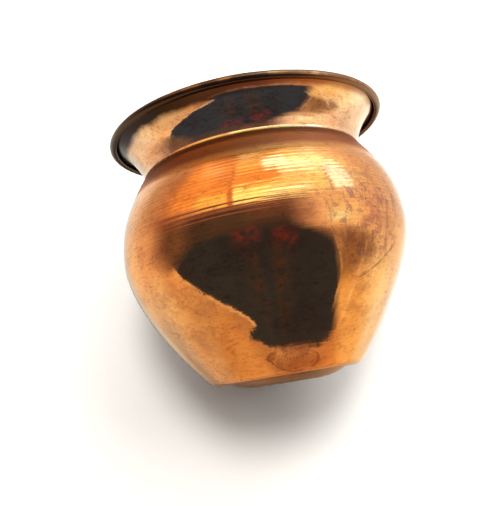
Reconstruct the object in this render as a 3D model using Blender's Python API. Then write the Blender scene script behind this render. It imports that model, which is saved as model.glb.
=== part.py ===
"""A small copper kalash (lota): a spun-sheet water pot with a round belly and a flared mouth.

It is made of three sheet pieces and the two rings of braze that hold them together.
Lengths are in metres, +Z is up, and the middle of the base stands on the origin.
Each piece is a closed outline, given as (radius, height), turned once about the Z axis.
"""

import math

import bmesh
import bpy

# Driving dimensions of the whole pot
SHEET = 0.0009  # thickness of the copper sheet
GAP = 0.0003  # clearance between pieces that meet
HEIGHT = 0.0921
BELLY_RADIUS = 0.0500
BELLY_HEIGHT = 0.0481  # where the belly is widest
CREASE_RADIUS = 0.0390  # where the shoulder meets the neck
CREASE_HEIGHT = 0.0773
RIM_RADIUS = 0.0496

# Base of the body
FLANGE_HEIGHT = 0.0023  # underside of the narrow flange that the wall turns in to
FLANGE_OPENING = 0.0201
CORNER_RADIUS = 0.0040  # round between the wall and the flange
CORNER_REACH = 0.0254  # radius at which the wall's line would meet the flange
WALL_SLOPE = math.radians(41)  # the wall's lean from upright, just above the corner
WALL_PULL = 0.0142  # how far the wall keeps its lean before it bends up to the belly
BELLY_PULL = 0.0130  # how far the belly stays upright below and above its widest line
SHOULDER_BELLY_PULL = 0.0150
SHOULDER_SLOPE = math.radians(34)  # the shoulder's lean from upright at the crease
SHOULDER_PULL = 0.0090

# Base disc, which lies on the flange and bulges down through its opening
DISC_RADIUS = 0.0244
PAD_RADIUS = 0.0110  # the flat that the pot stands on

# Mouth: a short spigot inside the body's opening, then a flare that ends in a rolled rim
SPIGOT_DEPTH = 0.0045  # how far the spigot reaches below the crease
FLARE_END_SLOPE = math.radians(60)  # the flare's lean from upright where it reaches the rim
ROLL_RADIUS = 0.0014  # outside radius of the rolled rim
ROLL_END = math.radians(-125)  # where the roll stops, measured from straight out
LAND_WIDTH = 0.0009  # flat ring along the top of the rim

# Braze rings
BASE_BRAZE_WIDTH = 0.0025
BASE_BRAZE_RISE = 0.0020
NECK_BRAZE_RISE = 0.0016

SEGMENTS = 56  # facets round the pot
SMOOTH_ANGLE = math.radians(35)

COPPER = (0.80, 0.36, 0.18, 1.0)
DULL_COPPER = (0.66, 0.29, 0.15, 1.0)
BRAZE = (0.78, 0.60, 0.34, 1.0)


def bezier(start, start_pull, end_pull, end, count):
    """Points on a cubic curve between two points, each with its handle."""
    points = []
    for index in range(count + 1):
        t = index / count
        weights = ((1 - t) ** 3, 3 * t * (1 - t) ** 2, 3 * t * t * (1 - t), t**3)
        handles = (start, start_pull, end_pull, end)
        radius = sum(w * h[0] for w, h in zip(weights, handles))
        height = sum(w * h[1] for w, h in zip(weights, handles))
        points.append((radius, height))
    return points


def arc(centre, radius, start, end, count):
    """Points on a circle's arc, with angles measured from straight out, turning up."""
    points = []
    for index in range(count + 1):
        angle = start + (end - start) * index / count
        points.append((centre[0] + radius * math.cos(angle), centre[1] + radius * math.sin(angle)))
    return points


def arc_to(start, end, end_lean, count):
    """An arc between two points that leans end_lean from upright where it ends."""
    across = end[0] - start[0]
    rise = end[1] - start[1]
    half_turn = end_lean - math.atan2(across, rise)
    radius = math.hypot(across, rise) / (2 * math.sin(half_turn))
    start_lean = end_lean - 2 * half_turn
    centre = (start[0] + radius * math.cos(start_lean), start[1] - radius * math.sin(start_lean))
    return arc(centre, radius, math.pi - start_lean, math.pi - end_lean, count)


def inset(points, distance):
    """The same line moved to its right-hand side, as seen walking along it."""
    moved = []
    for index, point in enumerate(points):
        before = points[max(index - 1, 0)]
        after = points[min(index + 1, len(points) - 1)]
        along = (after[0] - before[0], after[1] - before[1])
        length = math.hypot(*along)
        moved.append((point[0] + distance * along[1] / length, point[1] - distance * along[0] / length))
    return moved


def crossing(points, axis, value):
    """The first point of a line where its radius (axis 0) or height (axis 1) has this value."""
    for first, second in zip(points, points[1:]):
        span = second[axis] - first[axis]
        share = (value - first[axis]) / span if span else -1.0
        if 0.0 <= share <= 1.0:
            return tuple(a + share * (b - a) for a, b in zip(first, second))
    raise ValueError("the line doesn't reach this value")


def radius_at(points, height):
    return crossing(points, 1, height)[0]


def height_at(points, radius):
    return crossing(points, 0, radius)[1]


def metal(name, colour, roughness):
    """A plain metal material."""
    material = bpy.data.materials.new(name)
    material.use_nodes = True
    shader = material.node_tree.nodes["Principled BSDF"]
    shader.inputs["Base Color"].default_value = colour
    shader.inputs["Metallic"].default_value = 1.0
    shader.inputs["Roughness"].default_value = roughness
    material.diffuse_color = colour
    return material


def turn(name, outline, material, parent, closed=True):
    """A solid made by turning an outline once about the Z axis."""
    mesh = bmesh.new()
    corners = [mesh.verts.new((radius, 0.0, height)) for radius, height in outline]
    pairs = list(zip(corners, corners[1:]))
    if closed:
        pairs.append((corners[-1], corners[0]))
    edges = [mesh.edges.new(pair) for pair in pairs]
    bmesh.ops.spin(
        mesh,
        geom=corners + edges,
        cent=(0, 0, 0),
        axis=(0, 0, 1),
        angle=math.tau,
        steps=SEGMENTS,
        use_merge=True,
    )
    bmesh.ops.remove_doubles(mesh, verts=mesh.verts, dist=1e-7)
    bmesh.ops.recalc_face_normals(mesh, faces=mesh.faces)
    data = bpy.data.meshes.new(name)
    mesh.to_mesh(data)
    mesh.free()
    data.shade_smooth()
    data.set_sharp_from_angle(angle=SMOOTH_ANGLE)
    data.materials.append(material)
    piece = bpy.data.objects.new(name, data)
    bpy.context.scene.collection.objects.link(piece)
    piece.parent = parent
    return piece


def body_wall():
    """The outside of the body, from the crease down to the start of the corner."""
    crease = (CREASE_RADIUS, CREASE_HEIGHT)
    belly = (BELLY_RADIUS, BELLY_HEIGHT)
    shoulder_handle = (
        CREASE_RADIUS + SHOULDER_PULL * math.sin(SHOULDER_SLOPE),
        CREASE_HEIGHT - SHOULDER_PULL * math.cos(SHOULDER_SLOPE),
    )
    above = (BELLY_RADIUS, BELLY_HEIGHT + SHOULDER_BELLY_PULL)
    shoulder = bezier(crease, shoulder_handle, above, belly, 8)
    foot = corner_points(CORNER_RADIUS)[0]
    wall_handle = (
        foot[0] + WALL_PULL * math.sin(WALL_SLOPE),
        foot[1] + WALL_PULL * math.cos(WALL_SLOPE),
    )
    below = (BELLY_RADIUS, BELLY_HEIGHT - BELLY_PULL)
    lower = bezier(belly, below, wall_handle, foot, 10)
    return shoulder + lower[1:]


def corner_points(radius):
    """The round from the wall to the flange, with the centre that the outside has."""
    turn_angle = math.pi / 2 - WALL_SLOPE
    tangent = CORNER_RADIUS * math.tan(turn_angle / 2)
    centre = (CORNER_REACH - tangent, FLANGE_HEIGHT + CORNER_RADIUS)
    return arc(centre, radius, -WALL_SLOPE, -math.pi / 2, 4)


def make_body_shell(material, parent):
    """One spun sheet: shoulder, belly, wall and the narrow flange that carries the base disc."""
    wall = body_wall()
    outside = wall + corner_points(CORNER_RADIUS)[1:] + [(FLANGE_OPENING, FLANGE_HEIGHT)]
    inner_wall = inset(wall, SHEET)[:-1]
    edge_bottom = height_at(inner_wall, CREASE_RADIUS)
    inner_wall = [point for point in inner_wall if point[1] < edge_bottom - SHEET / 4]
    inner_corner = corner_points(CORNER_RADIUS - SHEET)
    flange_top = (FLANGE_OPENING, FLANGE_HEIGHT + SHEET)
    inside = [flange_top] + inner_corner[::-1] + inner_wall[::-1] + [(CREASE_RADIUS, edge_bottom)]
    return turn("body_shell", outside + inside, material, parent)


def make_base_disc(material, parent):
    """The bottom: a disc whose edge lies on the flange and whose middle bulges down to the pad."""
    plug_radius = FLANGE_OPENING - GAP
    edge_bottom = FLANGE_HEIGHT + SHEET + GAP
    across = plug_radius - PAD_RADIUS
    dome_radius = (across**2 + FLANGE_HEIGHT**2) / (2 * FLANGE_HEIGHT)
    centre = (PAD_RADIUS, dome_radius)
    down = -math.pi / 2
    under_end = down + math.asin(across / dome_radius)
    over_end = down + math.asin((across - SHEET) / (dome_radius - SHEET))
    under = arc(centre, dome_radius, under_end, down, 6)
    over = arc(centre, dome_radius - SHEET, down, over_end, 5)
    rim_under = [(DISC_RADIUS, edge_bottom), (plug_radius, edge_bottom)]
    rim_over = [(plug_radius - SHEET, edge_bottom + SHEET), (DISC_RADIUS, edge_bottom + SHEET)]
    outline = [(0.0, SHEET)] + over + rim_over + rim_under + under + [(0.0, 0.0)]
    return turn("base_disc", outline, material, parent, closed=False)


def make_mouth_flare(material, parent):
    """The spigot, the flare and the rolled rim, spun from one sheet."""
    spigot_radius = CREASE_RADIUS - GAP
    spigot_bottom = CREASE_HEIGHT - SPIGOT_DEPTH
    roll_centre = (RIM_RADIUS - ROLL_RADIUS, HEIGHT - ROLL_RADIUS)
    roll_start = math.pi - FLARE_END_SLOPE
    inner_roll = ROLL_RADIUS - SHEET
    top_left = roll_centre[0] - LAND_WIDTH / 2
    top_right = roll_centre[0] + LAND_WIDTH / 2
    outer_roll = arc(roll_centre, ROLL_RADIUS, math.radians(50), ROLL_END, 7)
    channel = arc(roll_centre, inner_roll, ROLL_END, roll_start, 6)
    flare_start = (spigot_radius, CREASE_HEIGHT)
    under = arc_to(flare_start, channel[-1], FLARE_END_SLOPE, 8)
    over = inset(under, -SHEET)
    outline = [(top_left, HEIGHT), (top_right, HEIGHT)] + outer_roll + channel
    outline += under[-2::-1] + [(spigot_radius, spigot_bottom)]
    outline += [(spigot_radius - SHEET, spigot_bottom)] + over
    return turn("mouth_flare", outline, material, parent)


def make_base_braze(material, parent):
    """A ring of braze in the angle between the base disc and the wall."""
    floor = FLANGE_HEIGHT + 2 * SHEET + 2 * GAP
    inner_wall = inset(body_wall(), SHEET + GAP)[:-1] + corner_points(CORNER_RADIUS - SHEET - GAP)
    outer_low = (radius_at(inner_wall, floor), floor)
    outer_high = (radius_at(inner_wall, floor + BASE_BRAZE_RISE), floor + BASE_BRAZE_RISE)
    inner = (outer_low[0] - BASE_BRAZE_WIDTH, floor)
    hollow = (outer_low[0] - BASE_BRAZE_WIDTH * 0.3, floor + BASE_BRAZE_RISE * 0.3)
    return turn("base_braze", [outer_high, outer_low, inner, hollow], material, parent)


def make_neck_braze(material, parent):
    """A ring of braze inside, in the angle between the spigot and the shoulder."""
    inner_radius = CREASE_RADIUS
    floor = CREASE_HEIGHT - SPIGOT_DEPTH + GAP
    shoulder = inset(body_wall(), SHEET + GAP)
    outer = (radius_at(shoulder, floor), floor)
    top = (radius_at(shoulder, floor + NECK_BRAZE_RISE), floor + NECK_BRAZE_RISE)
    return turn("neck_braze", [(inner_radius, top[1]), top, outer, (inner_radius, floor)], material, parent)


def main():
    for item in list(bpy.data.objects):
        bpy.data.objects.remove(item)
    pot = bpy.data.objects.new("pot", None)
    bpy.context.scene.collection.objects.link(pot)
    polished = metal("polished_copper", COPPER, 0.16)
    base_copper = metal("base_copper", DULL_COPPER, 0.30)
    flare_copper = metal("mouth_copper", COPPER, 0.14)
    braze = metal("braze_metal", BRAZE, 0.45)
    make_body_shell(polished, pot)
    make_base_disc(base_copper, pot)
    make_mouth_flare(flare_copper, pot)
    make_base_braze(braze, pot)
    make_neck_braze(braze, pot)


main()
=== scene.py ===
"""Looks for a small copper kalash: fine turned sheet pieces, worn polished metal, a white ground.

The pot stands on the origin with its mouth up. The main camera looks at it from the side, a
hair under its base, and leans, so in that picture the pot lies on a white sheet.
Lengths are in metres, +Z is up, and angles are in degrees unless a name says otherwise.
A "side" angle is measured round the pot from the front (-Y), turning towards +X.
"""

import math

import bmesh
import bpy
import numpy as np
from mathutils import Matrix, Vector


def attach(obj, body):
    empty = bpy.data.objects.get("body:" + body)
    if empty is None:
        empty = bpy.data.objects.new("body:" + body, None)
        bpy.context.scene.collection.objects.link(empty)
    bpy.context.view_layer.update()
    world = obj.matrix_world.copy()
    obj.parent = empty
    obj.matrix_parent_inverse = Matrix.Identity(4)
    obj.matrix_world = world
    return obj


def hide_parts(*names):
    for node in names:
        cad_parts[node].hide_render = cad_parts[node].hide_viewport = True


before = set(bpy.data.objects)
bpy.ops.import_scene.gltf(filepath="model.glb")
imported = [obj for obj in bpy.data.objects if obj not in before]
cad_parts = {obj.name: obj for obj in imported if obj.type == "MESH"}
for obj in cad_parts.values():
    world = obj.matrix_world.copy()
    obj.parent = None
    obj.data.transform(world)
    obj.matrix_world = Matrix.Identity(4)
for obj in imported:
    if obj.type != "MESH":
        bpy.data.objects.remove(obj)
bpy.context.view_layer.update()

# The pot's driving sizes, as in its CAD
SHEET = 0.0009
HEIGHT = 0.0921
BELLY_RADIUS = 0.0500
BELLY_HEIGHT = 0.0481
BELLY = (BELLY_RADIUS, BELLY_HEIGHT)
CREASE_RADIUS = 0.0390
CREASE_HEIGHT = 0.0773
RIM_RADIUS = 0.0496
FLANGE_HEIGHT = 0.0023
FLANGE_OPENING = 0.0201
CORNER_RADIUS = 0.0040
CORNER_REACH = 0.0254
WALL_SLOPE = 41.0
WALL_PULL = 0.0142
BELLY_PULL = 0.0130
SHOULDER_BELLY_PULL = 0.0150
SHOULDER_SLOPE = 34.0
SHOULDER_PULL = 0.0090
DISC_RADIUS = 0.0244
PAD_RADIUS = 0.0110
SPIGOT_RADIUS = 0.0387
SPIGOT_BOTTOM = 0.0728
FLARE_END_SLOPE = 60.0
ROLL_RADIUS = 0.0014
ROLL_END = -125.0

# How finely the turned pieces are made: steps round the pot, and steps along each outline
SEGMENTS = 240
BASE_SEGMENTS = 192
SHOULDER_STEP = 0.00017
WALL_STEP = 0.00045
CORNER_STEP = 0.0004
FLANGE_STEP = 0.0008
INSIDE_STEP = 0.0016
FLARE_STEP = 0.00022
PAD_STEP = 0.0006
PAD_TOP_STEP = 0.0010
BEAD_STEP = 0.0002
SMOOTH_ANGLE = math.radians(40)

# The wall becomes a true turning between these heights, where other pieces meet it
FOOT_JOINT = (0.0050, 0.0120)
NECK_JOINT = (0.0700, 0.0760)

# Turning marks: lowest and highest, usual spacing, depth, and the seed of their chance
SHELL_GROOVES = (
    (0.0490, 0.0686, 0.00125, 2.4e-5, 3),
    (0.0200, 0.0490, 0.0017, 3.0e-6, 4),
    (0.0060, 0.0200, 0.0013, 6.0e-6, 5),
)
FLARE_GROOVES = (0.0785, 0.0900, 0.0010, 4.5e-6, 6)

# The rounded fold between the flare and the shoulder
FOLD_HEIGHT = 0.0024
FOLD_REACH = 0.00042
FOLD_DROP = 0.00045

# Braze rings: height, how far the fillet reaches, and the clearance to the sheets round them
BASE_BEAD_HEIGHT = 0.0020
BASE_BEAD_REACH = 0.0025
NECK_BEAD_HEIGHT = 0.0018
CLEARANCE = 0.0001

RANDOM = np.random.default_rng(11)

# Places on the pot: a thumb print, brown patches, and scratches by three points and a width
PRINT_CENTRE = (0.0027, -0.0284, 0.0068)
PRINT_REACH = 0.0080
RIDGE_SPACING = 0.00105
BROWN_PATCHES = (
    ((-0.029, -0.033, 0.021), 0.016),
    ((0.030, -0.029, 0.024), 0.012),
)
CURVED_SCRATCHES = (
    (((0.0408, -0.0243, 0.0366), (0.0349, -0.0286, 0.0313), (0.0274, -0.0331, 0.0272)), 0.00030),
    (((0.0420, -0.0243, 0.0362), (0.0361, -0.0286, 0.0309), (0.0290, -0.0331, 0.0266)), 0.00016),
)

# Sets of handling scratches: how each is turned, in radians, its fineness and its width
HANDLING_SCRATCHES = (
    ((0.4, 0.9, 0.2), 900.0, 0.020),
    ((1.3, -0.5, 0.8), 700.0, 0.016),
    ((0.1, 1.45, -0.4), 560.0, 0.012),
)

# The length that one unit of a copper's fine height stands for
BUMP_STEP = 0.0000025

# The outputs of a SeparateXYZ node
X, Y, Z = 0, 1, 2

# Camera
LENS = 49.8
SENSOR = 36.0
CAMERA_PLACE = Vector((0.0, -0.2449, -0.0003))
CAMERA_TARGET = Vector((-0.0058, 0.0, 0.0469))
CAMERA_LEAN = -9.61

# Soft lamps: side angle, angle above level, width and power, and how far they stand off
LAMPS = {
    "key": (6.0, 17.9, 0.51, 16.5),
    "top": (0.0, 54.0, 2.86, 56.0),
    "side": (49.2, 26.4, 1.77, 31.0),
}
LAMP_COLOUR = (1.0, 0.965, 0.92)
LAMP_DISTANCE = 1.8

# How strongly the room lights the sheets, and how white the camera sees past them
FILL_STRENGTH = 0.14
BACKGROUND_STRENGTH = 1.02

# The white sheets: how far they reach, and how far behind the axis the upright one stands
SHEET_REACH = 3.0
SHEET_PLACE = 0.0504


# ------------------------------ outlines

def bezier(start, start_pull, end_pull, end, count=80):
    """A curve between two ends, pulled towards a point near each."""
    t = np.linspace(0, 1, count + 1)[:, None]
    handles = [np.array(h) for h in (start, start_pull, end_pull, end)]
    weights = ((1 - t) ** 3, 3 * t * (1 - t) ** 2, 3 * t * t * (1 - t), t**3)
    return sum(w * h for w, h in zip(weights, handles))


def arc(centre, radius, start, end, count=24):
    angle = np.radians(np.linspace(start, end, count + 1))
    return np.stack([centre[0] + radius * np.cos(angle), centre[1] + radius * np.sin(angle)], 1)


def arc_to(start, end, end_lean, count=80):
    """An arc between two points that leans end_lean from upright where it ends."""
    across, rise = end[0] - start[0], end[1] - start[1]
    half_turn = math.radians(end_lean) - math.atan2(across, rise)
    radius = math.hypot(across, rise) / (2 * math.sin(half_turn))
    start_lean = math.radians(end_lean) - 2 * half_turn
    centre = (start[0] + radius * math.cos(start_lean), start[1] - radius * math.sin(start_lean))
    return arc(centre, radius, 180 - math.degrees(start_lean), 180 - end_lean, count)


def even(line, step):
    """The same line with points about a step apart."""
    line = np.asarray(line, float)
    lengths = np.hypot(*np.diff(line, axis=0).T)
    along = np.concatenate([[0], np.cumsum(lengths)])
    count = max(int(round(along[-1] / step)), 1)
    wanted = np.linspace(0, along[-1], count + 1)
    return np.stack([np.interp(wanted, along, line[:, axis]) for axis in (0, 1)], 1)


def right_hand(line):
    """Unit vectors to the right of a line, as seen walking along it."""
    along = np.gradient(np.asarray(line, float), axis=0)
    along /= np.linalg.norm(along, axis=1, keepdims=True)
    return np.stack([along[:, 1], -along[:, 0]], 1)


def inset(line, distance):
    """A line beside another, to its right where the distance is positive."""
    return line + distance * right_hand(line)


def corner(radius):
    """The round corner between the wall and the flange, seen from the wall."""
    tangent = CORNER_RADIUS * math.tan(math.radians(90 - WALL_SLOPE) / 2)
    centre = (CORNER_REACH - tangent, FLANGE_HEIGHT + CORNER_RADIUS)
    return arc(centre, radius, -WALL_SLOPE, -90)


def shoulder_line():
    crease = (CREASE_RADIUS, CREASE_HEIGHT)
    lean = math.radians(SHOULDER_SLOPE)
    handle = (
        CREASE_RADIUS + SHOULDER_PULL * math.sin(lean),
        CREASE_HEIGHT - SHOULDER_PULL * math.cos(lean),
    )
    above = (BELLY_RADIUS, BELLY_HEIGHT + SHOULDER_BELLY_PULL)
    return bezier(crease, handle, above, BELLY)


def lower_line():
    foot = corner(CORNER_RADIUS)[0]
    lean = math.radians(WALL_SLOPE)
    handle = (foot[0] + WALL_PULL * math.sin(lean), foot[1] + WALL_PULL * math.cos(lean))
    below = (BELLY_RADIUS, BELLY_HEIGHT - BELLY_PULL)
    return bezier(BELLY, below, handle, foot)


# ------------------------------ shape of a hand-finished pot

def smooth(x, low, high):
    """A smooth step from 0 at low to 1 at high."""
    t = np.clip((x - low) / (high - low), 0, 1)
    return t * t * (3 - 2 * t)


def skew(z):
    """How far the pot's axis wanders sideways, along X, at a height."""
    heights = (0.0, 0.012, 0.022, 0.034, 0.048, 0.066, 0.080, 0.093)
    millimetres = (0.08, -0.40, -0.60, -0.40, 0.0, 0.28, 0.12, 0.0)
    return np.interp(z, heights, millimetres) * 1e-3


# side angle, height, spread and depth of small dents
DENTS = (
    (-41, 0.024, 0.0045, 0.00007),
    (-20, 0.015, 0.0040, 0.00006),
    (34, 0.029, 0.0050, 0.00008),
    (52, 0.041, 0.0060, 0.00009),
    (-58, 0.052, 0.0050, 0.00007),
    (100, 0.033, 0.0070, 0.00014),
    (148, 0.056, 0.0060, 0.00012),
    (205, 0.030, 0.0080, 0.00016),
    (262, 0.045, 0.0060, 0.00012),
    (17, 0.066, 0.0030, 0.00003),
)

# lobes round the pot, waves along its height per metre, and size of each gentle wave
WAVES = [
    (lobes, RANDOM.uniform(-60, 60), RANDOM.uniform(0, math.tau), size)
    for lobes, size in ((2, 9e-5), (3, 6e-5), (5, 3.5e-5), (7, 2.2e-5), (11, 1.1e-5), (17, 5e-6))
]


def uneven(angle, z):
    """How far the wall stands out from a true turning, the same inside and out."""
    out = np.zeros(np.broadcast(angle, z).shape)
    for lobes, climb, phase, size in WAVES:
        out = out + size * np.cos(lobes * angle + climb * z + phase)
    for side, height, spread, depth in DENTS:
        turn = (angle - math.radians(side) + math.pi) % math.tau - math.pi
        distance = (turn * BELLY_RADIUS) ** 2 + (z - height) ** 2
        out = out - depth * np.exp(-distance / (2 * spread**2))
    return out


def grooves(z, angle, low, high, spacing, size, seed):
    """Turning marks: shallow rings at uneven spacing, each fading in and out round the pot."""
    chance = np.random.default_rng(seed)
    out = np.zeros(np.broadcast(angle, z).shape)
    height = low
    while height < high:
        width = chance.uniform(0.20, 0.32) * spacing
        depth = size * chance.uniform(0.35, 1.25)
        lobes = chance.integers(1, 4)
        phase = chance.uniform(0, math.tau)
        fade = 0.72 + 0.28 * np.cos(lobes * angle + phase)
        out = out - depth * fade * np.exp(-(((z - height) / width) ** 2))
        height += spacing * chance.uniform(0.75, 1.3)
    return out


# ------------------------------ meshes

def turned(name, outline, material, shape, closed=True, segments=SEGMENTS):
    """A mesh made by turning an outline of (radius, height) once about Z.

    shape(angle, radius, z) gives the radius and height to use at each point of the turning.
    """
    outline = np.asarray(outline, float)
    angle = np.arange(segments)[:, None] * math.tau / segments
    radius, z = shape(angle, outline[None, :, 0], outline[None, :, 1])
    radius, z = np.broadcast_arrays(radius + 0 * angle, z + 0 * angle)
    points = np.stack([radius * np.sin(angle) + skew(z), -radius * np.cos(angle), z], -1)
    count = len(outline)
    steps = count if closed else count - 1
    ring, spot = np.meshgrid(np.arange(segments), np.arange(steps), indexing="ij")
    after, beyond = (ring + 1) % segments, (spot + 1) % count
    quads = np.stack(
        [ring * count + spot, after * count + spot, after * count + beyond, ring * count + beyond],
        -1,
    ).reshape(-1, 4)
    data = bpy.data.meshes.new(name)
    data.from_pydata(points.reshape(-1, 3).tolist(), [], quads.tolist())
    made = bmesh.new()
    made.from_mesh(data)
    bmesh.ops.remove_doubles(made, verts=made.verts, dist=1e-7)
    bmesh.ops.recalc_face_normals(made, faces=made.faces)
    made.to_mesh(data)
    made.free()
    data.shade_smooth()
    data.set_sharp_from_angle(angle=SMOOTH_ANGLE)
    data.materials.append(material)
    piece = bpy.data.objects.new(name, data)
    bpy.context.scene.collection.objects.link(piece)
    return piece


def stands_for(piece, node):
    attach(piece, "root")
    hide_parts(node)


def make_shell(material):
    """Shoulder, belly, wall and flange, spun from one sheet."""
    shoulder = even(shoulder_line(), SHOULDER_STEP)
    lower = even(lower_line(), WALL_STEP)
    turn_in = even(corner(CORNER_RADIUS), CORNER_STEP)
    flange = even([turn_in[-1], (FLANGE_OPENING, FLANGE_HEIGHT)], FLANGE_STEP)
    outside = np.vstack([shoulder, lower[1:], turn_in[1:], flange[1:]])
    inside = inset(outside, SHEET)
    inner = even(inside[inside[:, 0] > FLANGE_OPENING - 1e-6], INSIDE_STEP)[::-1]
    in_the_neck = (inner[:, 1] > NECK_JOINT[0]) & (inner[:, 0] < CREASE_RADIUS)
    inner = inner[~in_the_neck]
    lip = [(CREASE_RADIUS - 0.00005, CREASE_HEIGHT - 0.00025)]
    outline = np.vstack([outside, inner, lip])
    on_outside = np.arange(len(outline)) < len(outside)

    def shape(angle, radius, z):
        marks = sum(grooves(z, angle, *band) for band in SHELL_GROOVES)
        clear_of_joints = smooth(z, *FOOT_JOINT) * (1 - smooth(z, *NECK_JOINT))
        out = uneven(angle, z) * clear_of_joints
        return radius + out + marks * on_outside[None, :], z

    piece = turned("shell", outline, material, shape)
    stands_for(piece, "body_shell")


def make_mouth(material):
    """The spigot inside the shell, the flare and the rolled rim."""
    roll_centre = (RIM_RADIUS - ROLL_RADIUS, HEIGHT - ROLL_RADIUS)
    roll_start = 180 - FLARE_END_SLOPE
    channel = arc(roll_centre, ROLL_RADIUS - SHEET, ROLL_END, roll_start, 18)
    under = arc_to((SPIGOT_RADIUS, CREASE_HEIGHT), channel[-1], FLARE_END_SLOPE)
    under = even(under, FLARE_STEP)
    over = inset(under, -SHEET)
    under_top = under[under[:, 1] > CREASE_HEIGHT + FOLD_HEIGHT]
    toe = (CREASE_RADIUS + FOLD_REACH, CREASE_HEIGHT - FOLD_DROP)
    toe_pull = (toe[0] - 0.00050, toe[1] + 0.00062)
    top_pull = (under_top[0][0] - 0.00026, CREASE_HEIGHT + FOLD_HEIGHT * 0.60)
    fold = bezier(toe, toe_pull, top_pull, under_top[0], 16)
    roll = arc(roll_centre, ROLL_RADIUS, roll_start - 2, ROLL_END, 40)
    tip_centre = arc(roll_centre, ROLL_RADIUS - SHEET / 2, ROLL_END, ROLL_END, 0)[0]
    tip = arc(tip_centre, SHEET / 2, ROLL_END, ROLL_END - 180, 6)[1:-1]
    over = over[over[:, 0] < roll[0][0] - CLEARANCE / 2]
    spigot = [
        (SPIGOT_RADIUS, CREASE_HEIGHT - 0.0008),
        (SPIGOT_RADIUS, SPIGOT_BOTTOM),
        (SPIGOT_RADIUS - SHEET, SPIGOT_BOTTOM),
    ]
    outline = np.vstack([roll, tip, channel[1:], under_top[-2:0:-1], fold[::-1], spigot, over])
    count = len(roll) + len(tip) + len(channel) - 1
    on_under = np.zeros(len(outline), bool)
    on_under[count : count + len(under_top)] = True

    def shape(angle, radius, z):
        lift = smooth(z, CREASE_HEIGHT + 0.002, HEIGHT - 0.001)
        out = 1.0e-4 * np.cos(2 * angle + 0.7) + 4e-5 * np.cos(5 * angle + 2.0)
        up = 9e-5 * np.cos(3 * angle + 1.1) + 4e-5 * np.cos(8 * angle) + 2e-5 * np.cos(23 * angle)
        marks = grooves(z, angle, *FLARE_GROOVES)
        return radius + out * lift + marks * on_under[None, :], z + up * lift

    piece = turned("mouth", outline, material, shape)
    stands_for(piece, "mouth_flare")


def make_base(material):
    """The dished disc that closes the bottom and carries the pad that the pot stands on."""
    plug = FLANGE_OPENING - CLEARANCE
    edge = FLANGE_HEIGHT + SHEET + CLEARANCE / 2
    across = plug - PAD_RADIUS
    radius = (across**2 + FLANGE_HEIGHT**2) / (2 * FLANGE_HEIGHT)
    centre = (PAD_RADIUS, radius)
    under_end = -90 + math.degrees(math.asin(across / radius))
    over_end = -90 + math.degrees(math.asin((across - SHEET) / (radius - SHEET)))
    pad_under = even([(0.0, 0.0), (PAD_RADIUS, 0.0)], PAD_STEP)
    pad_over = even([(0.0, SHEET), (PAD_RADIUS, SHEET)], PAD_TOP_STEP)
    under = arc(centre, radius, -90, under_end, 18)
    over = arc(centre, radius - SHEET, -90, over_end, 12)
    step = [(plug, edge), (DISC_RADIUS, edge), (DISC_RADIUS, edge + SHEET), (plug, edge + SHEET)]
    outline = np.vstack([pad_under, under[1:], step, over[::-1], pad_over[-2::-1]])

    def shape(angle, r, z):
        inner = smooth(r, 0.0, 0.004) * (1 - smooth(r, 0.017, 0.0195))
        ripple = 1.2e-5 * np.cos(r * math.tau / 0.0016) + 4e-5 * np.cos(3 * angle + r * 300)
        return r, z + inner * (ripple + 4e-5)

    piece = turned("base", outline, material, shape, closed=False, segments=BASE_SEGMENTS)
    stands_for(piece, "base_disc")


def make_bead(name, node, outline, material, seed):
    """A ring of braze with the slow lumps that it freezes into."""
    line = even(np.vstack([outline, outline[:1]]), BEAD_STEP)[:-1]
    centre = line.mean(0)
    chance = np.random.default_rng(seed)
    lumps = [
        (count, chance.uniform(0, math.tau), chance.uniform(0, math.tau), 0.15 / math.sqrt(count))
        for count in (3, 5, 8, 13, 21, 34, 47)
    ]

    def shape(angle, radius, z):
        swell = 1.0 + 0 * angle
        for count, phase, turn, size in lumps:
            across = radius * 900 * math.cos(turn)
            swell = swell + size * np.cos(count * angle + phase + across)
        swell = np.clip(swell, 0.55, 1.12)
        return centre[0] + (radius - centre[0]) * swell, centre[1] + (z - centre[1]) * swell

    piece = turned(name, line, material, shape)
    stands_for(piece, node)


def base_bead_outline():
    """A fillet in the corner between the base disc's rim and the wall."""
    floor = FLANGE_HEIGHT + 2 * SHEET + CLEARANCE
    top = floor + BASE_BEAD_HEIGHT
    wall = inset(lower_line(), SHEET)
    wall = np.vstack([wall[:-1], corner(CORNER_RADIUS - SHEET)])
    low = np.array([np.interp(-floor, -wall[:, 1], wall[:, 0]), floor])
    high = np.array([np.interp(-top, -wall[:, 1], wall[:, 0]), top])
    toe = low - (BASE_BEAD_REACH, 0)
    hollow = (low[0] - 0.0009, floor + 0.0007)
    against_wall = even([high, low], 0.0003)
    on_floor = even([low, toe], 0.0004)
    face = even(bezier(toe, hollow, hollow, high, 12), 0.0003)
    return np.vstack([against_wall[:-1], on_floor[:-1], face[:-1]])


def neck_bead_outline():
    """A fillet in the gap between the mouth's spigot and the shoulder."""
    floor = SPIGOT_BOTTOM + 2 * CLEARANCE
    top = floor + NECK_BEAD_HEIGHT
    wall = inset(shoulder_line(), SHEET)
    low = (np.interp(-floor, -wall[:, 1], wall[:, 0]), floor)
    high = (np.interp(-top, -wall[:, 1], wall[:, 0]), top)
    inner = SPIGOT_RADIUS + CLEARANCE
    hollow = (inner + 0.0006, floor + 0.0004)
    face = bezier(low, hollow, hollow, (inner, floor), 6)
    return np.vstack([[(inner, top)], [high], [low], face[1:]])


# ------------------------------ node graphs

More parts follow.
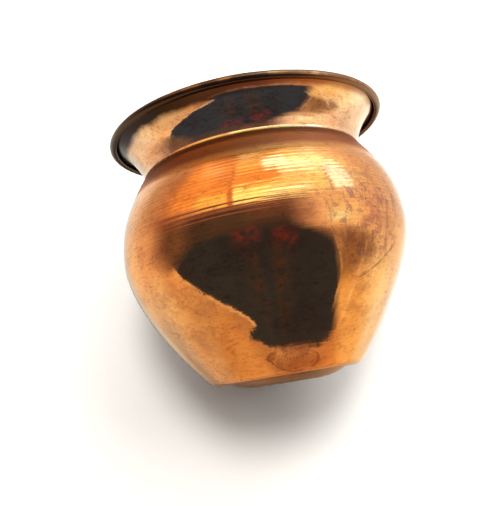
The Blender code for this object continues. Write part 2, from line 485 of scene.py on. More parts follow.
class Graph:
    """Short ways to add nodes to a material's or a world's tree."""

    def __init__(self, tree):
        self.tree = tree
        tree.nodes.clear()

    def node(self, kind, inputs=(), output=0, **settings):
        made = self.tree.nodes.new("ShaderNode" + kind)
        for name, value in settings.items():
            setattr(made, name, value)
        for key, value in dict(inputs).items():
            socket = made.inputs[key]
            if isinstance(value, bpy.types.NodeSocket):
                self.tree.links.new(value, socket)
            else:
                socket.default_value = value
        return made.outputs[output] if output is not None else made

    def math(self, operation, *values, clamp=False):
        return self.node("Math", dict(enumerate(values)), operation=operation, use_clamp=clamp)

    def times(self, first, *others):
        for other in others:
            first = self.math("MULTIPLY", first, other)
        return first

    def plus(self, total, value, amount):
        """A total with some amount of a value added to it."""
        return self.math("MULTIPLY_ADD", value, amount, total)

    def most(self, first, *others):
        for other in others:
            first = self.math("MAXIMUM", first, other)
        return first

    def from_half(self, noise):
        """Noise moved so that it swings round 0."""
        return self.math("SUBTRACT", noise, 0.5)

    def vector(self, operation, *values, output=0):
        return self.node("VectorMath", dict(enumerate(values)), output, operation=operation)

    def scaled(self, vector, scale):
        return self.vector("MULTIPLY", vector, scale)

    def axis(self, place, index):
        return self.node("SeparateXYZ", {0: place}, index)

    def flat(self, place):
        """A place moved along the pot's axis to height 0."""
        split = self.node("SeparateXYZ", {0: place}, None)
        return self.node("CombineXYZ", {0: split.outputs[0], 1: split.outputs[1]})

    def radius(self, place):
        return self.vector("LENGTH", self.flat(place), output=1)

    def ramp(self, value, low, high, to_low=0.0, to_high=1.0):
        """A smooth step from to_low, below low, to to_high, above high."""
        inputs = {0: value, 1: low, 2: high, 3: to_low, 4: to_high}
        return self.node("MapRange", inputs, interpolation_type="SMOOTHSTEP")

    def mix(self, share, first, second):
        return self.node("Mix", {0: share, 6: first, 7: second}, 2, data_type="RGBA")

    def over(self, under, share, tone, strength=1.0):
        """Another tone laid over a shade, where a share says so."""
        return self.mix(self.times(share, strength), under, colour(*tone))

    def noise(self, vector, scale, detail=3.0, roughness=0.55, distortion=0.0):
        inputs = {"Vector": vector, "Scale": scale, "Detail": detail, "Roughness": roughness}
        inputs["Distortion"] = distortion
        return self.node("TexNoise", inputs)


def colour(red, green, blue):
    return (red, green, blue, 1.0)


def curve(graph, value, points, low, high):
    """A function of a value, straight between points of (value, result)."""
    start, end = points[0][0], points[-1][0]
    share = graph.node("MapRange", {0: value, 1: start, 2: end})
    node = graph.node("FloatCurve", {"Value": share}, None)
    line = node.mapping.curves[0]
    for index, (x, y) in enumerate(points):
        place = ((x - start) / (end - start), (y - low) / (high - low))
        if index < 2:
            line.points[index].location = place
        else:
            line.points.new(*place)
    for point in line.points:
        point.handle_type = "VECTOR"
    node.mapping.update()
    return graph.node("MapRange", {0: node.outputs[0], 3: low, 4: high})


# ------------------------------ materials

def new_material(name):
    """A material, its graph and the coordinates of the object that it is on."""
    material = bpy.data.materials.new(name)
    material.use_nodes = True
    graph = Graph(material.node_tree)
    return material, graph, graph.node("TexCoord", output=3)


def metal_surface(graph, shade, rough, height, strength, distance):
    bump = graph.node("Bump", {"Strength": strength, "Distance": distance, "Height": height})
    looks = {"Base Color": shade, "Metallic": 1.0, "Roughness": rough, "Normal": bump}
    graph.node("OutputMaterial", {0: graph.node("BsdfPrincipled", looks)}, None)


def around(graph, place, slow, fast):
    """Coordinates that change slowly round the pot and fast along its outline."""
    flat = graph.flat(place)
    radius = graph.vector("LENGTH", flat, output=1)
    heading = graph.vector("NORMALIZE", flat)
    along = graph.math("ADD", graph.axis(place, Z), graph.times(radius, 0.7))
    lift = graph.node("CombineXYZ", {2: graph.times(along, fast)})
    return graph.vector("ADD", graph.scaled(heading, (slow, slow, slow)), lift)


def spot(graph, place, centre, radius):
    """1 near a point and 0 beyond a distance, with a soft ragged edge."""
    ragged = 0.6
    distance = graph.vector("DISTANCE", place, centre, output=1)
    wander = graph.from_half(graph.noise(place, 260.0))
    distance = graph.math("ADD", distance, graph.times(wander, radius * ragged))
    return graph.ramp(distance, radius * (1 - ragged * 0.5), radius, 1, 0)


def scratches(graph, place, turn, fineness, width):
    """Thin straight handling marks, all in one direction."""
    stretch = 0.045
    turning = {"Vector": place, "Rotation": turn}
    turned_place = graph.node("VectorRotate", turning, rotation_type="EULER_XYZ")
    stretched = graph.scaled(turned_place, (fineness, fineness, fineness * stretch))
    middle = graph.math("ABSOLUTE", graph.from_half(graph.noise(stretched, 1.0, detail=1.0)))
    broken = graph.ramp(graph.noise(place, 90.0, detail=2.0), 0.50, 0.62)
    return graph.times(graph.ramp(middle, 0, width, 1, 0), broken)


def rings(graph, place, spacing, wander):
    """A wave along the outline, as turning leaves it: 1 on a ring's crest and 0 in its valley."""
    along = graph.plus(graph.axis(place, Z), graph.radius(place), -0.55)
    drift = graph.times(graph.noise(place, 24.0, detail=2.0), wander)
    turn = graph.plus(drift, along, math.tau / spacing)
    return graph.math("MULTIPLY_ADD", graph.math("SINE", turn), 0.5, 0.5)


def copper(name, clean, stained, gloss, stain, turning, marks):
    """Worn polished copper: turning lines, handling scratches, smudges, tarnish and pits.

    gloss is the roughness where it is clean, stain how much of it is tarnished and turning how
    deep its lines are. marks(graph, place, shade, rough, height, dark) adds what one piece shows.
    """
    material, graph, place = new_material(name)

    lines = graph.noise(around(graph, place, 7.0, 2300.0), 1.0, detail=2.0)
    coarse_lines = graph.noise(around(graph, place, 2.4, 760.0), 1.0, detail=2.0, roughness=0.5)
    cloud = graph.noise(place, 38.0, detail=5.0, roughness=0.60, distortion=0.4)
    squeezed = graph.scaled(place, (1.0, 1.0, 2.0))
    smear = graph.noise(squeezed, 85.0, detail=6.0, roughness=0.66, distortion=0.6)
    squeezed = graph.scaled(place, (1.0, 1.0, 2.4))
    grime = graph.noise(squeezed, 420.0, detail=5.0, roughness=0.78, distortion=0.3)
    grain = graph.noise(place, 900.0, roughness=0.6)
    pits = graph.noise(place, 520.0, detail=2.0, roughness=0.5)
    scratch = graph.most(*[scratches(graph, place, *each) for each in HANDLING_SCRATCHES])

    tarnish = graph.times(graph.ramp(cloud, 0.44, 0.68), stain)
    smudge = graph.ramp(smear, 0.46, 0.66)
    dirt = graph.times(graph.ramp(grime, 0.50, 0.62), graph.ramp(smear, 0.40, 0.60, 0.30, 1.0))
    film = graph.ramp(coarse_lines, 0.48, 0.70)
    dark = graph.times(graph.ramp(pits, 0.70, 0.76), graph.ramp(cloud, 0.40, 0.60, 0.15, 0.8))
    worked = graph.ramp(graph.noise(place, 52.0), 0.36, 0.62, 0.35, 1.0)

    shade = graph.mix(tarnish, clean, stained)
    shade = graph.over(shade, smudge, (0.58, 0.27, 0.115), 0.42)
    shade = graph.over(shade, dirt, (0.40, 0.175, 0.085), 0.62)
    shade = graph.over(shade, film, (0.66, 0.32, 0.18), 0.16)
    shade = graph.over(shade, scratch, (0.45, 0.20, 0.10), 0.40)
    rough = graph.plus(gloss, smudge, 0.018)
    rough = graph.plus(rough, tarnish, 0.05)
    rough = graph.plus(rough, dirt, 0.03)
    rough = graph.plus(rough, grain, 0.012)
    height = graph.times(lines, worked, turning * 0.42)
    height = graph.plus(height, coarse_lines, turning * 0.8)
    height = graph.plus(height, smear, 0.10)
    height = graph.plus(height, scratch, -0.22)
    shade, rough, height, dark = marks(graph, place, shade, rough, height, dark)

    shade = graph.over(shade, dark, (0.16, 0.07, 0.04))
    rough = graph.math("ADD", rough, graph.times(dark, 0.25), clamp=True)
    metal_surface(graph, shade, rough, height, 1.0, BUMP_STEP)
    material.diffuse_color = clean
    return material


def fingerprint(graph, place, centre, reach):
    """Arched ridges of a thumb print, broken and smeared, with a darker outline."""
    split = graph.node("SeparateXYZ", {0: graph.vector("SUBTRACT", place, centre)}, None)
    sway = graph.from_half(graph.noise(place, 170.0, roughness=0.6))
    across = graph.plus(split.outputs[X], sway, reach * 0.95)
    up = graph.plus(graph.times(split.outputs[Z], 1.9), sway, reach * 0.60)
    lean = graph.plus(up, across, 0.25)
    squares = graph.math("ADD", graph.math("POWER", across, 2.0), graph.math("POWER", lean, 2.0))
    ring = graph.math("SQRT", squares)
    ridges = graph.math("SINE", graph.times(ring, math.tau / RIDGE_SPACING))
    front = graph.ramp(graph.axis(place, Y), -0.020, -0.018, 1, 0)
    inside = graph.times(graph.ramp(ring, reach * 0.88, reach, 1, 0), front)
    pressed = graph.ramp(graph.noise(place, 260.0, detail=4.0, roughness=0.7), 0.47, 0.58)
    line = graph.times(graph.ramp(ridges, -0.2, 0.9), inside, pressed)
    outline = graph.times(graph.ramp(ring, reach * 0.74, reach * 0.88), inside)
    outline = graph.times(outline, graph.ramp(graph.noise(place, 140.0), 0.44, 0.60))
    return inside, graph.most(line, outline)


def long_scratch(graph, place, points, width):
    """A curved line where a plane through three points of the wall meets it, between the ends."""
    start, middle, end = (Vector(point) for point in points)
    normal = (middle - start).cross(end - start).normalized()
    along_normal = graph.vector("DOT_PRODUCT", place, normal, output=1)
    off = graph.math("ABSOLUTE", graph.math("SUBTRACT", along_normal, normal.dot(middle)))
    reach = (end - start).length / 2
    near = graph.ramp(graph.vector("DISTANCE", place, middle, output=1), reach, reach * 1.25, 1, 0)
    worn = graph.ramp(graph.noise(place, 240.0, detail=2.0), 0.36, 0.52, 0.35, 1.0)
    return graph.times(graph.ramp(off, width * 0.4, width, 1, 0), near, worn)


def turning_rings(graph, place, level, shade, rough, height):
    """Ridges and cuts that the tool left round the shoulder, ending below the joint."""
    wave = rings(graph, place, 0.00128, 5.0)
    worked = graph.ramp(graph.noise(place, 60.0), 0.34, 0.56, 0.35, 1.0)
    shoulder = graph.times(graph.ramp(level, 0.0380, 0.0500), worked)
    height = graph.plus(height, graph.times(wave, shoulder), 5.0)
    unevenness = graph.noise(around(graph, place, 2.0, 480.0), 1.0, detail=2.0, roughness=0.5)
    cut = graph.times(graph.ramp(graph.plus(wave, unevenness, 0.9), 1.24, 1.42), shoulder)
    height = graph.plus(height, cut, -3.2)
    rough = graph.plus(rough, cut, 0.10)
    shade = graph.over(shade, cut, (0.60, 0.25, 0.10), 0.46)
    height = graph.times(height, graph.ramp(level, 0.0672, 0.0696, 1.0, 0.04))
    return shade, rough, height


def mottle(graph, place, level, shade, rough, dark):
    """A patch of speckled tarnish with fine cracks and upright smears, right of the front."""
    stain = spot(graph, place, (0.031, -0.037, 0.047), 0.020)
    stain = graph.times(stain, graph.ramp(level, 0.055, 0.063, 1.0, 0.25))
    speckle = graph.ramp(graph.noise(place, 330.0, detail=6.0, roughness=0.75), 0.50, 0.60)
    patch = graph.times(stain, graph.plus(0.18, speckle, 0.75))
    shade = graph.over(shade, patch, (0.40, 0.185, 0.135), 0.95)
    rough = graph.plus(rough, patch, 0.09)
    web = graph.noise(place, 260.0, detail=4.0, roughness=0.7, distortion=0.9)
    cracks = graph.ramp(graph.math("ABSOLUTE", graph.from_half(web)), 0.0, 0.014, 1, 0)
    seen = graph.times(graph.ramp(graph.noise(place, 75.0), 0.48, 0.60), stain)
    dark = graph.most(dark, graph.times(cracks, seen, 0.9))
    smears = graph.noise(graph.scaled(place, (1.0, 1.0, 0.16)), 300.0, roughness=0.6)
    smears = graph.times(graph.ramp(smears, 0.50, 0.62), stain)
    shade = graph.over(shade, smears, (0.42, 0.19, 0.13), 0.62)
    rough = graph.plus(rough, smears, 0.08)
    return shade, rough, dark


def handling(graph, place, shade, rough, dark):
    """Brown patches low on the wall, a thumb print near the base and two curved scratches."""
    for centre, reach in BROWN_PATCHES:
        faded = graph.ramp(graph.noise(place, 135.0, detail=5.0, roughness=0.68), 0.44, 0.62)
        brown = graph.times(spot(graph, place, centre, reach), faded)
        shade = graph.over(shade, brown, (0.46, 0.21, 0.09), 0.50)
    inside, ridges = fingerprint(graph, place, PRINT_CENTRE, PRINT_REACH)
    shade = graph.over(shade, ridges, (0.32, 0.12, 0.05), 0.80)
    shade = graph.over(shade, inside, (0.66, 0.26, 0.12), 0.18)
    rough = graph.plus(rough, inside, 0.05)
    curved = [long_scratch(graph, place, *scratch) for scratch in CURVED_SCRATCHES]
    dark = graph.most(dark, graph.times(graph.most(*curved), 0.62))
    return shade, rough, dark


def shell_marks(graph, place, shade, rough, height, dark):
    """What the belly shows besides its general wear, and the dull band next to the joint, painted
    darker as shade under the flare.
    """
    level = graph.axis(place, Z)
    shade, rough, height = turning_rings(graph, place, level, shade, rough, height)
    shade, rough, dark = mottle(graph, place, level, shade, rough, dark)
    shade, rough, dark = handling(graph, place, shade, rough, dark)
    rough = graph.plus(rough, graph.ramp(level, 0.0672, 0.0704), 0.42)
    # painted shade and reflection of the flare's underside on the band below the crease, redder on
    # the right
    right_half = graph.ramp(graph.axis(place, X), -0.030, 0.030)
    crease_painted_shade = graph.mix(right_half, colour(0.32, 0.130, 0.085), colour(0.44, 0.15, 0.085))
    shade = graph.mix(graph.times(graph.ramp(level, 0.0686, 0.0718), 0.88), shade, crease_painted_shade)
    return shade, rough, height, dark


def mouth_marks(graph, place, shade, rough, height, dark):
    """The upper flare and the rim are browner than the rest, most of all on the left; the flare's
    upper band is patina plus a painted dark reflection.
    """
    radius = graph.radius(place)
    left_to_right = graph.axis(place, X)
    height = graph.plus(height, rings(graph, place, 0.00110, 4.0), 1.6)
    across = graph.ramp(left_to_right, -0.03, 0.04)
    wander = graph.from_half(graph.noise(place, 70.0, detail=4.0, roughness=0.6))
    reach = graph.plus(graph.plus(radius, across, -0.0016), wander, 0.0034)
    upper = graph.ramp(reach, 0.0428, 0.0448)
    # patina plus a painted reflection of the dark surroundings below: near black on the left, brown
    # on the right
    patina_and_painted_reflection = graph.mix(across, colour(0.036, 0.028, 0.025), colour(0.42, 0.19, 0.12))
    shade = graph.mix(upper, shade, patina_and_painted_reflection)
    rough = graph.plus(rough, upper, 0.08)
    foot = graph.ramp(graph.axis(place, Z), CREASE_HEIGHT + 0.0001, CREASE_HEIGHT + 0.0010, 1, 0)
    rough = graph.plus(rough, foot, 0.25)
    rim = graph.ramp(radius, RIM_RADIUS - 0.0033, RIM_RADIUS - 0.0026)
    rim_tone = graph.mix(across, colour(0.080, 0.060, 0.048), colour(0.22, 0.120, 0.075))
    shade = graph.mix(rim, shade, rim_tone)
    rough = graph.plus(rough, rim, 0.10)
    edge = graph.ramp(radius, RIM_RADIUS - 0.00022, RIM_RADIUS - 0.00004)
    rubbed = graph.ramp(graph.noise(place, 120.0), 0.44, 0.64, 0.05, 0.50)
    rubbed = graph.times(rubbed, graph.ramp(left_to_right, -0.035, 0.0))
    shade = graph.over(shade, edge, (0.78, 0.42, 0.22), rubbed)
    return shade, rough, height, dark


def base_marks(graph, place, shade, rough, height, dark):
    """The pad's edge is rubbed bright where the pot stands on it."""
    from_edge = graph.math("SUBTRACT", graph.radius(place), PAD_RADIUS - 0.0004)
    at_edge = graph.ramp(graph.math("ABSOLUTE", from_edge), 0.0002, 0.0009, 1, 0)
    underneath = graph.ramp(graph.axis(place, Z), 0.0003, 0.0006, 1, 0)
    worn = graph.times(at_edge, underneath, graph.ramp(graph.noise(place, 90.0), 0.34, 0.56))
    shade = graph.over(shade, worn, (0.90, 0.62, 0.40), 0.8)
    rough = graph.plus(rough, worn, -0.12)
    return shade, rough, height, dark


def braze_metal():
    """Dull yellow filler metal with dark scale."""
    material, graph, place = new_material("braze_metal")
    cloud = graph.noise(place, 160.0, detail=5.0, roughness=0.65, distortion=0.5)
    grain = graph.noise(place, 1800.0)
    scale = graph.ramp(graph.noise(place, 420.0, detail=4.0, roughness=0.7), 0.48, 0.62)
    cloudy = graph.ramp(cloud, 0.35, 0.65)
    shade = graph.mix(cloudy, colour(0.72, 0.55, 0.26), colour(0.46, 0.30, 0.14))
    shade = graph.over(shade, scale, (0.12, 0.09, 0.07), 0.6)
    rough = graph.plus(0.34, scale, 0.25)
    height = graph.math("ADD", cloud, graph.times(grain, 0.2))
    metal_surface(graph, shade, rough, height, 0.8, 0.00008)
    return material


def paper():
    """White card, seen from its front only."""
    material, graph, place = new_material("white_card")
    fibre = graph.noise(place, 700.0, detail=4.0)
    shade = graph.mix(fibre, colour(0.93, 0.93, 0.92), colour(0.97, 0.97, 0.965))
    card = graph.node("BsdfDiffuse", {"Color": shade})
    clear = graph.node("BsdfTransparent")
    from_behind = graph.node("NewGeometry", output=6)
    shown = graph.node("MixShader", {0: from_behind, 1: card, 2: clear})
    graph.node("OutputMaterial", {0: shown}, None)
    return material


# ------------------------------ surroundings

class Room(Graph):
    """A world of tones laid over one another by direction.

    A direction is given by its side angle (0 is the front) and its elevation above level.
    """

    def __init__(self, tree):
        super().__init__(tree)
        self.direction = self.node("TexCoord", output=0)
        split = self.node("SeparateXYZ", {0: self.direction}, None)
        degrees = 180 / math.pi
        back = self.times(split.outputs[Y], -1.0)
        self.side = self.times(self.math("ARCTAN2", split.outputs[X], back), degrees)
        self.height = self.times(self.math("ARCSINE", split.outputs[Z]), degrees)
        self.light = None

    def span(self, value, low, high, edge):
        """1 between two values and 0 outside them, with soft edges."""
        rise = self.ramp(value, low - edge, low + edge)
        fall = self.ramp(value, high - edge, high + edge, 1, 0)
        return self.times(rise, fall)

    def patch(self, sides, heights, edge_side, edge_height):
        across = self.span(self.side, *sides, edge_side)
        return self.times(across, self.span(self.height, *heights, edge_height))

    def sweep(self, stops):
        """Tones met one after another round the sides, each blending smoothly into the next."""
        tone = colour(*stops[0][1])
        for (low, _), (high, after) in zip(stops, stops[1:]):
            tone = self.mix(self.ramp(self.side, low, high), tone, colour(*after))
        return tone

    def lay(self, share, tone, strength=1.0):
        self.light = self.over(self.light, share, tone, strength)


# Tones round the pot by side angle, in rows from the table up
TABLE = (
    (-180, (0.66, 0.35, 0.16)), (-120, (0.84, 0.50, 0.22)), (-70, (0.80, 0.46, 0.21)),
    (-45, (0.58, 0.33, 0.18)), (45, (0.54, 0.27, 0.14)), (85, (0.72, 0.38, 0.18)),
    (112, (0.97, 0.52, 0.20)), (168, (0.66, 0.38, 0.20)), (180, (0.66, 0.35, 0.16)),
)
LOW_WALL = (
    (-180, (0.64, 0.34, 0.17)), (-145, (0.78, 0.58, 0.44)), (-114, (0.88, 0.66, 0.46)),
    (-90, (0.78, 0.54, 0.31)), (-60, (0.78, 0.49, 0.28)), (80, (1.04, 0.70, 0.31)),
    (130, (1.26, 0.94, 0.44)), (168, (0.82, 0.49, 0.25)), (180, (0.64, 0.34, 0.17)),
)
WALL = (
    (-180, (0.24, 0.14, 0.09)), (-165, (0.28, 0.18, 0.12)), (-148, (0.48, 0.39, 0.31)),
    (-132, (0.66, 0.62, 0.60)), (-112, (1.10, 0.98, 0.74)), (-88, (1.06, 0.68, 0.37)),
    (70, (1.06, 0.76, 0.41)), (112, (1.24, 1.13, 0.78)), (132, (1.24, 1.28, 1.05)),
    (155, (1.14, 0.97, 0.68)), (168, (0.82, 0.53, 0.29)), (180, (0.24, 0.14, 0.09)),
)
CARD = (
    (-180, (0.20, 0.15, 0.12)), (-168, (0.28, 0.24, 0.20)), (-150, (0.84, 0.84, 0.76)),
    (-130, (1.06, 0.86, 0.64)), (-108, (0.96, 0.66, 0.45)), (-90, (0.62, 0.38, 0.28)),
    (30, (0.58, 0.37, 0.32)), (50, (1.10, 0.82, 0.62)), (92, (1.18, 0.88, 0.66)),
    (112, (0.96, 0.77, 0.62)), (132, (1.08, 0.94, 0.76)), (155, (1.20, 1.26, 1.17)),
    (168, (1.10, 1.04, 0.94)), (180, (0.20, 0.15, 0.12)),
)
UPPER_WALL = (
    (-165, (1.20, 1.20, 1.14)), (-140, (1.20, 1.16, 1.04)), (-112, (0.68, 0.47, 0.36)),
    (-85, (0.70, 0.37, 0.23)), (60, (1.16, 0.96, 0.68)), (90, (1.36, 1.26, 0.97)),
    (112, (1.10, 0.86, 0.65)), (135, (0.84, 0.68, 0.60)), (160, (1.20, 1.20, 1.14)),
)
CEILING = (
    (-130, (0.14, 0.08, 0.06)), (-75, (0.76, 0.35, 0.21)), (-32, (0.72, 0.35, 0.19)),
    (-10, (1.06, 1.04, 0.72)), (14, (1.04, 0.94, 0.56)), (36, (0.98, 0.64, 0.26)),
    (70, (1.24, 0.92, 0.44)), (105, (0.24, 0.13, 0.09)), (140, (0.14, 0.08, 0.06)),
)
# the elevations between which each row takes over from the one below it
ROWS = (
    ((-54, -42), LOW_WALL),
    ((-36, -22), WALL),
    ((-20, -4), CARD),
    ((8, 32), UPPER_WALL),
    ((62, 72), CEILING),
)


def stand_walls(room):
    """What stands round the pot, row by row from the table up to the ceiling."""
    room.light = room.sweep(TABLE)
    for heights, tones in ROWS:
        room.light = room.mix(room.ramp(room.height, *heights), room.light, room.sweep(tones))
    room.lay(room.ramp(room.height, 73, 84), (0.52, 0.25, 0.15))
    behind = room.most(room.ramp(room.side, -166, -148, 1, 0), room.ramp(room.side, 166, 178))
    room.lay(room.times(behind, room.span(room.height, 9, 44, 3)), (1.15, 1.12, 1.04), 0.9)


def darken_front(room):
    """The brown room in front, its hazy and rosy corners and its red upper edge."""
    room.lay(room.patch((-87, -40), (-17, 22), 10, 3), (0.17, 0.104, 0.074), 0.92)
    room.lay(room.patch((-58, 27), (-40, 23), 9, 2.5), (0.075, 0.058, 0.060), 0.97)
    room.lay(room.patch((-8, 34), (4, 22), 14, 6), (0.24, 0.13, 0.12), 0.45)
    room.lay(room.patch((30, 66), (-32, -15), 8, 5), (0.33, 0.19, 0.16), 0.85)
    slope = room.plus(room.height, room.side, -0.68)
    corner_shade = room.times(room.ramp(slope, -95, -86), room.patch((66, 104), (-42, -13), 8, 6))
    room.lay(corner_shade, (0.35, 0.20, 0.12), 0.90)
    room.lay(room.patch((-95, 40), (19.5, 25.5), 12, 2.5), (0.34, 0.14, 0.12), 0.75)


# Edges of the dark shape: elevation by side angle
LOWER_EDGE = (
    (-80, -15), (-77, -24), (-68, -35), (-56, -45), (-40, -55.5), (-33, -60), (-29, -69.5),
    (5, -72.5), (30, -70), (52, -66.5), (62, -64), (77, -58), (86, -51.5), (92, -49),
)
UPPER_EDGE = (
    (-80, -15), (-66, -11), (-50, -6), (20, -6), (38, -13), (58, -21), (66, -29), (76, -36.5),
    (79, -42), (76, -44.5), (83, -46), (92, -49),
)


def dark_wedge(room, level):
    """A notch of dark at the shape's lower left, its ends hatched."""
    teeth = room.math("SINE", room.times(room.height, math.tau / 1.25))
    hatched = room.plus(room.side, teeth, 4.5)
    lowest = room.node("MapRange", {0: room.side, 1: -54, 2: -27, 3: -61.5, 4: -70})
    above_lowest = room.ramp(room.math("SUBTRACT", level, lowest), -0.8, 0.8)
    across = room.span(hatched, -54, -14, 1.5)
    return room.times(across, room.ramp(level, -61.0, -59.8, 1, 0), above_lowest)


def stand_dark_shape(room):
    """A dark shape in the room, no more than a flat patch, with a pale rim where card shows."""
    ragged = room.from_half(room.noise(room.direction, 16.0, detail=4.0, roughness=0.7))
    level = room.plus(room.height, ragged, 4.2)
    inside_low = room.math("SUBTRACT", level, curve(room, room.side, LOWER_EDGE, -90, 0))
    inside_high = room.math("SUBTRACT", curve(room, room.side, UPPER_EDGE, -60, 30), level)
    soft_left = room.ramp(room.side, -76, -66, 0.8, 4.5)
    softness = room.most(room.ramp(room.side, 20, 56, 4.5, 0.8), soft_left)
    softened = room.math("DIVIDE", inside_high, softness)
    top_share = room.node("MapRange", {0: softened, 1: -1, 2: 1})
    across = room.span(room.side, -79, 90, 1.0)
    dark = room.times(room.ramp(inside_low, -0.7, 0.7), top_share, across)
    dark = room.most(dark, dark_wedge(room, level))

    # each rim: how far outside an edge it lies, and the side angles that it covers
    rims = []
    for inside, outer, inner, sides, edge in (
        (inside_low, (-3.2, -1.2), (-0.5, 0.5), (-80, -33), 2.0),
        (inside_high, (-3.0, -1.2), (-0.4, 0.4), (58, 84), 2.0),
        (inside_low, (-3.6, -2.2), (-1.4, -0.7), (-20, 70), 6.0),
    ):
        ring = room.times(room.ramp(inside, *outer), room.ramp(inside, *inner, 1, 0))
        rims.append(room.times(ring, room.span(room.side, *sides, edge)))
    room.lay(room.most(*rims[:2]), (1.00, 0.74, 0.50), 0.80)
    room.lay(rims[2], (1.00, 0.72, 0.48), 0.75)
    room.lay(room.patch((91.0, 93.5), (-44, -20), 0.8, 5), (1.20, 0.95, 0.66), 0.75)
    room.lay(dark, (0.040, 0.049, 0.076))

    broken = room.ramp(room.noise(room.direction, 11.0, roughness=0.6), 0.36, 0.62)
    for middle, reach in ((-13, 6), (13, 8)):
        band = room.patch((middle - reach, middle + reach), (-66, -26), 6, 8)
        room.lay(room.times(band, dark, broken), (0.082, 0.054, 0.042), 0.80)
    for middle, middle_height in ((-13, -13), (18, -19)):
        red = room.patch((middle - 9, middle + 9), (middle_height - 7, middle_height + 8), 6, 5)
        room.lay(room.times(red, broken), (0.23, 0.050, 0.058), 0.95)


# Side angles, elevations, soft edges, tone and strength of the window's panes
PANES = (
    ((-80, 30), (26.5, 68), 9, 1.6, (1.22, 0.62, 0.22), 0.96),
    ((-38, -25), (43, 57), 5, 3.0, (0.80, 0.34, 0.19), 0.70),
    ((-62, -34), (56, 64), 8, 3.0, (1.40, 0.92, 0.60), 0.75),
    ((-52, -25), (27, 36), 3, 1.5, (1.36, 1.15, 0.38), 0.95),
    ((-19, 28), (26.5, 39), 1.0, 1.5, (1.60, 2.10, 1.10), 0.97),
    ((25, 63), (25, 66), 1.5, 3.0, (1.40, 1.60, 0.92), 0.95),
    ((-19, 12), (58, 64), 3, 2.0, (1.40, 1.20, 0.50), 0.80),
    ((14, 44), (57, 65), 4, 2.0, (2.30, 3.20, 3.70), 0.95),
    ((40, 82), (47, 62), 4, 2.5, (1.80, 2.20, 2.00), 0.85),
    ((66, 86), (24, 46), 2, 2.5, (2.10, 2.90, 3.40), 0.95),
    ((52, 84), (-9, 15), 7, 6.0, (1.20, 1.10, 0.74), 0.85),
    ((54, 70), (-8, 3), 4, 3.5, (1.30, 1.55, 1.20), 0.85),
)
# side angle, half width, lowest and highest elevation and strength of each bar
BARS = (
    (-22, 2, 25, 62, 0.80),
    (-66, 1, 26, 66, 0.45),
    (64, 1, 26, 64, 0.55),
)


def hang_window(room):
    """Orange glass with clear and yellow panes, bars between them and blinds across."""
    for sides, heights, edge_side, edge_height, tone, strength in PANES:
        room.lay(room.patch(sides, heights, edge_side, edge_height), tone, strength)
    slant = room.plus(room.height, room.side, 0.36)
    shine = room.times(room.span(slant, 63, 74, 2.5), room.span(room.side, 28, 64, 4))
    room.lay(shine, (2.20, 3.10, 3.50), 0.95)
    for middle, width, low, high, strength in BARS:
        bar = room.patch((middle - width, middle + width), (low, high), 1.2, 2.0)
        room.lay(bar, (0.66, 0.26, 0.15), strength)
    drift = room.times(room.noise(room.direction, 3.0, detail=2.0), 14.0)
    slats = room.math("SINE", room.plus(drift, room.height, math.tau / 2.3))
    slats = room.times(room.ramp(slats, 0.1, 0.7), room.patch((-70, 58), (30, 50), 8, 3))
    room.lay(slats, (1.05, 0.45, 0.12), 0.80)
    room.lay(room.patch((10, 46), (26.5, 30.5), 8, 0.8), (1.80, 2.50, 2.60), 0.90)


def build_world():
    """The room that the metal mirrors; the camera sees white, and the card gets a warm fill."""
    world = bpy.data.worlds.new("studio")
    bpy.context.scene.world = world
    world.use_nodes = True
    room = Room(world.node_tree)
    stand_walls(room)
    darken_front(room)
    stand_dark_shape(room)
    hang_window(room)

    rays = room.node("LightPath", output=None)
    spread = room.ramp(rays.outputs["Diffuse Depth"], 0, 1)
    warmth = room.mix(spread, colour(1.0, 1.0, 1.0), colour(1.0, 0.75, 0.52))
    strength = room.plus(1.0, spread, FILL_STRENGTH - 1.0)
    reflected = room.node("Background", {0: room.vector("MULTIPLY", room.light, warmth), 1: strength})
    plain = room.node("Background", {0: colour(1.0, 1.0, 1.0), 1: BACKGROUND_STRENGTH})
    shown = room.node("MixShader", {0: rays.outputs["Is Camera Ray"], 1: reflected, 2: plain})
    room.node("OutputWorld", {0: shown}, None)


def sheet(name, corners, material):
    """A flat sheet that the camera sees and the metal doesn't mirror."""
    data = bpy.data.meshes.new(name)
    data.from_pydata(corners, [], [(0, 1, 2, 3)])
    data.materials.append(material)
    made = bpy.data.objects.new(name, data)
    bpy.context.scene.collection.objects.link(made)
    for ray in ("diffuse", "glossy", "transmission", "volume_scatter", "shadow"):
        setattr(made, "visible_" + ray, False)


def build_ground(card):
    """The sheet that the pot's side touches, and the floor that its base stands on."""
    square = ((-1, -1), (1, -1), (1, 1), (-1, 1))
    edge = [(SHEET_REACH * across, SHEET_REACH * along) for across, along in square]
    sheet("back_sheet", [(across, SHEET_PLACE, up) for across, up in edge], card)
    sheet("floor", [(across, along, 0.0) for across, along in edge], card)


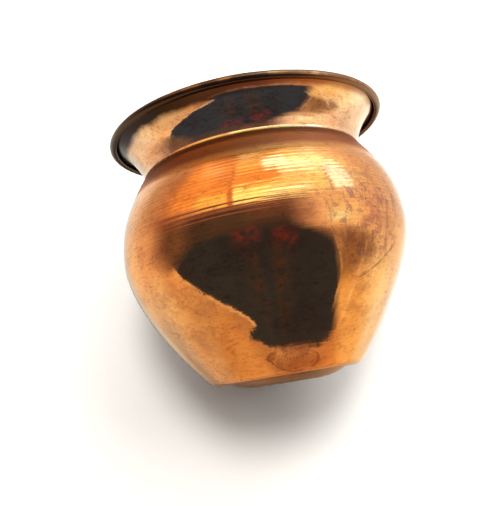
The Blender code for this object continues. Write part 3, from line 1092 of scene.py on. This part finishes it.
def build_light(name, side, height, size, power):
    """A soft lamp that lights the white card; the metal gets its light from the room."""
    aim = Vector((0.0, BELLY_RADIUS, 0.03))
    side, height = math.radians(side), math.radians(height)
    towards = Vector(
        (math.sin(side) * math.cos(height), -math.cos(side) * math.cos(height), math.sin(height))
    )
    data = bpy.data.lights.new(name, "AREA")
    data.shape = "DISK"
    data.size = size
    data.energy = power
    data.color = LAMP_COLOUR
    lamp = bpy.data.objects.new(name, data)
    bpy.context.scene.collection.objects.link(lamp)
    lamp.location = aim + LAMP_DISTANCE * towards
    lamp.rotation_euler = (-towards).to_track_quat("-Z", "Y").to_euler()
    lamp.visible_glossy = False
    lamp.visible_camera = False


def build_camera():
    """The main view, from the side and leaning, in which the pot seems to lie on its side."""
    data = bpy.data.cameras.new("camera")
    data.lens = LENS
    data.sensor_width = SENSOR
    data.clip_start = 0.005
    forward = (CAMERA_TARGET - CAMERA_PLACE).normalized()
    level = forward.cross(Vector((0, 0, 1))).normalized()
    upright = level.cross(forward)
    lean = math.radians(CAMERA_LEAN)
    right = math.cos(lean) * level + math.sin(lean) * upright
    up = math.cos(lean) * upright - math.sin(lean) * level
    camera = bpy.data.objects.new("camera", data)
    bpy.context.scene.collection.objects.link(camera)
    turn = Matrix((right, up, -forward)).transposed()
    camera.matrix_world = Matrix.Translation(CAMERA_PLACE) @ turn.to_4x4()
    bpy.context.scene.camera = camera


# ------------------------------ build

polished = copper(
    "polished_copper",
    clean=colour(0.93, 0.50, 0.20),
    stained=colour(0.60, 0.28, 0.12),
    gloss=0.036,
    stain=0.60,
    turning=2.4,
    marks=shell_marks,
)
# The mouth's copper is paler than the shell's: painted light, standing in for the brighter
# surroundings that the flare mirrors.
mouth_copper = copper(
    "mouth_copper",
    clean=colour(0.97, 0.70, 0.46),
    stained=colour(0.66, 0.42, 0.28),
    gloss=0.040,
    stain=0.50,
    turning=1.8,
    marks=mouth_marks,
)
# The base's copper is painted dark: painted shade under the pot and a painted reflection of the
# shadowed card, with heavy tarnish besides.
base_copper = copper(
    "base_copper",
    clean=colour(0.27, 0.195, 0.140),
    stained=colour(0.15, 0.105, 0.080),
    gloss=0.26,
    stain=0.90,
    turning=0.9,
    marks=base_marks,
)
braze = braze_metal()

make_shell(polished)
make_mouth(mouth_copper)
make_base(base_copper)
make_bead("neck_bead", "neck_braze", neck_bead_outline(), braze, 21)
make_bead("base_bead", "base_braze", base_bead_outline(), braze, 22)

build_world()
build_ground(paper())
for lamp_name, lamp in LAMPS.items():
    build_light(lamp_name, *lamp)
build_camera()

view = bpy.context.scene.view_settings
view.view_transform = "Standard"
view.look = "None"
